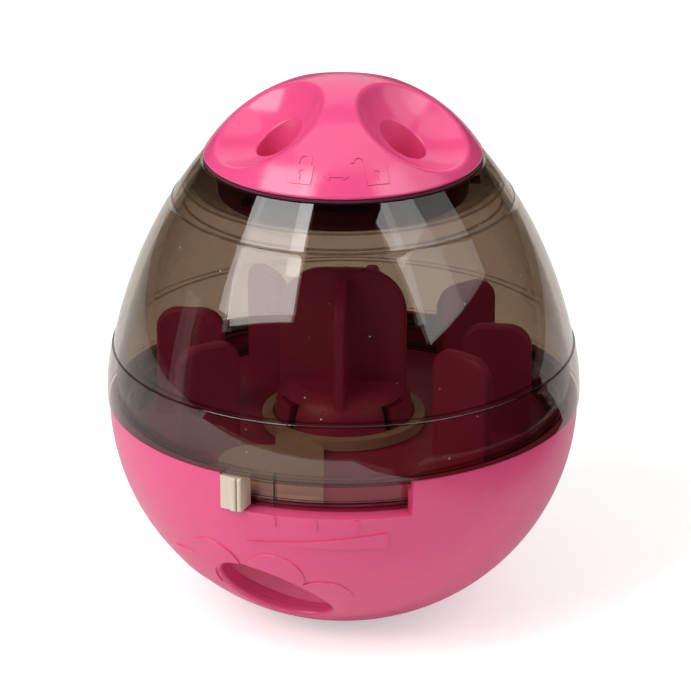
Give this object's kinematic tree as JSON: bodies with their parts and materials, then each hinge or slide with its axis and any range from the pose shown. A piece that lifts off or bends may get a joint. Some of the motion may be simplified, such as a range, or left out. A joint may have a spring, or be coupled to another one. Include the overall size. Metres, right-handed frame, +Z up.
{
  "type": "treat dispensing egg toy",
  "caption": "Self-righting egg-shaped pet toy: see-through dome with a baffle maze, twist-off cap, sliding outlet selector and a chute that lets treats fall out.",
  "frame": {"origin": "centre of the flat foot, on the ground", "axes": "+Z up along the egg's axis; the window, the outlet and the front of the cap face -Y"},
  "size_m": [0.1154, 0.1154, 0.1343],
  "materials": {
    "pink_plastic": "satin moulded",
    "smoky_plastic": "polished clear",
    "ivory_plastic": "satin moulded",
    "galvanised_steel": "zinc plated",
    "gasket_rubber": "matt"
  },
  "bodies": {
    "base": {"lower_bowl": "pink_plastic", "outlet_chute": "pink_plastic", "counterweight": "galvanised_steel", "weight_cover": "pink_plastic", "weight_cover_screws": "galvanised_steel", "maze_floor": "pink_plastic", "centre_screw": "galvanised_steel", "centre_tower": "pink_plastic", "baffle_front_left": "pink_plastic", "baffle_left": "pink_plastic", "baffle_back_left": "pink_plastic", "baffle_back": "pink_plastic", "baffle_back_right": "pink_plastic", "baffle_right": "pink_plastic", "baffle_front_right": "pink_plastic"},
    "selector": {"metering_disc": "ivory_plastic", "selector_ring": "smoky_plastic", "selector_knob": "ivory_plastic"},
    "dome": {"smoky_dome": "smoky_plastic"},
    "gasket": {"cap_gasket": "gasket_rubber"},
    "cap": {"cap": "pink_plastic", "cap_liner": "pink_plastic"}
  },
  "joints": [
    {"name": "selector_turn", "type": "hinge", "parent": "base", "child": "selector", "pos_m": [0, 0, 0.04718], "axis": [0, 0, 1], "range_deg": [0, 40.4]},
    {"name": "dome_lift", "type": "slide", "parent": "base", "child": "dome", "axis": [0, 0, 1], "range_m": [0, 0.06]},
    {"name": "cap_lift", "type": "slide", "parent": "dome", "child": "gasket", "axis": [0, 0, 1], "range_m": [0, 0.025]},
    {"name": "cap_twist", "type": "hinge", "parent": "gasket", "child": "cap", "pos_m": [0, 0, 0.11538], "axis": [0, 0, 1], "range_deg": [-30, 0]}
  ]
}
